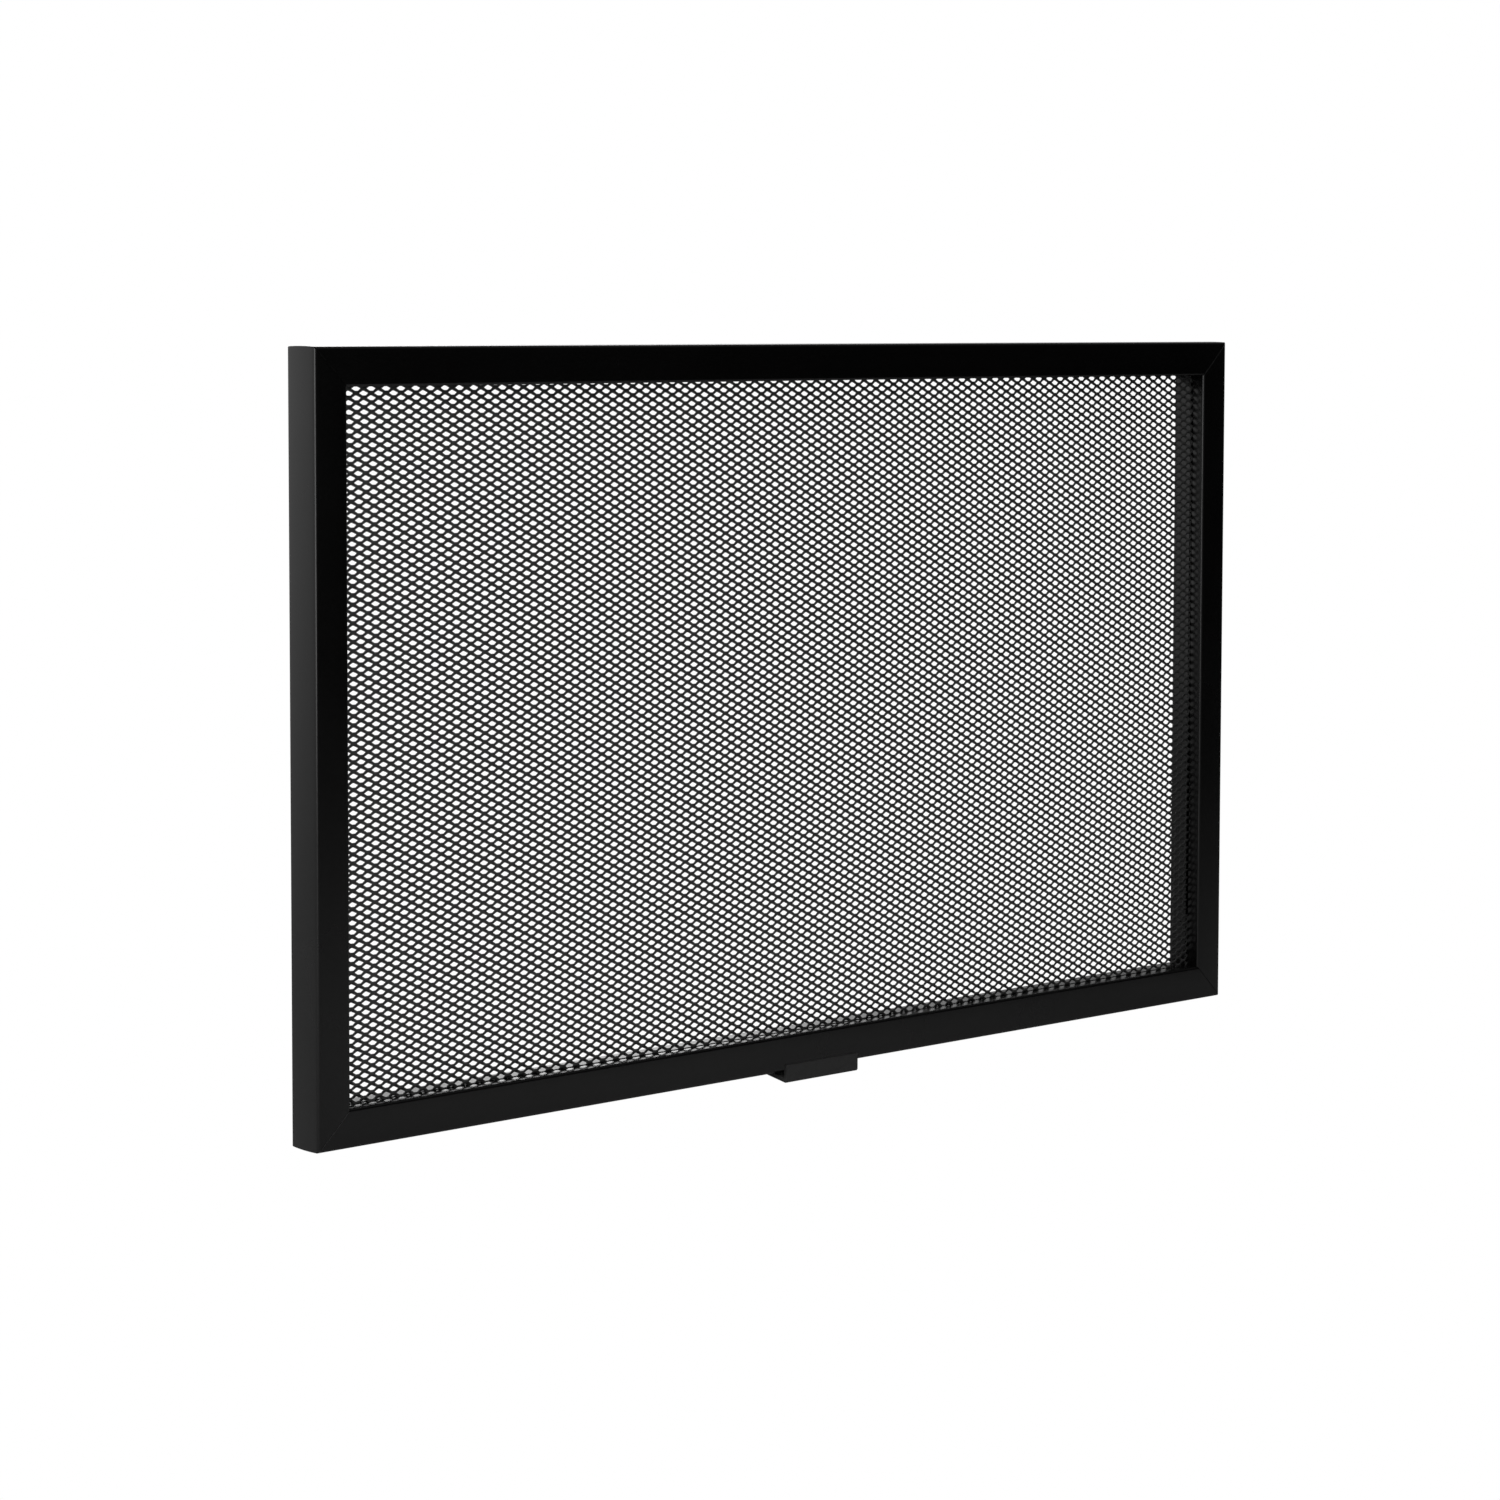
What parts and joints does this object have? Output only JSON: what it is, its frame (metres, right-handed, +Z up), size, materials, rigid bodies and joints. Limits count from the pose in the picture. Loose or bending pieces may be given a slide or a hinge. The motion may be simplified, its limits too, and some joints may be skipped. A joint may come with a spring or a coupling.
{
  "type": "fireplace screen",
  "caption": "Rigid black fireplace screen: a mitred box-section frame round a panel of fine expanded-metal mesh, with a small bent pull tab under the bottom rail.",
  "frame": {"origin": "centre of the bottom rail's rear face, where the screen leans on the firebox surround", "axes": "+X along the width to the right as seen from the front, +Y from the front to the back, +Z up"},
  "size_m": [0.715, 0.031, 0.4355],
  "materials": {
    "frame_paint": "satin black powder coat with a fine texture",
    "mesh_paint": "satin black powder coat on expanded steel",
    "tab_paint": "satin black powder coat",
    "rivet_paint": "satin black powder coat",
    "key_alloy": "bare die-cast, hidden inside the rails"
  },
  "bodies": {
    "root": {"top_rail": "frame_paint", "bottom_rail": "frame_paint", "left_rail": "frame_paint", "right_rail": "frame_paint", "corner_key_top_left": "key_alloy", "corner_key_top_right": "key_alloy", "corner_key_bottom_left": "key_alloy", "corner_key_bottom_right": "key_alloy", "mesh_panel": "mesh_paint", "pull_tab": "tab_paint", "tab_rivet_left": "rivet_paint", "tab_rivet_right": "rivet_paint"}
  },
  "joints": []
}
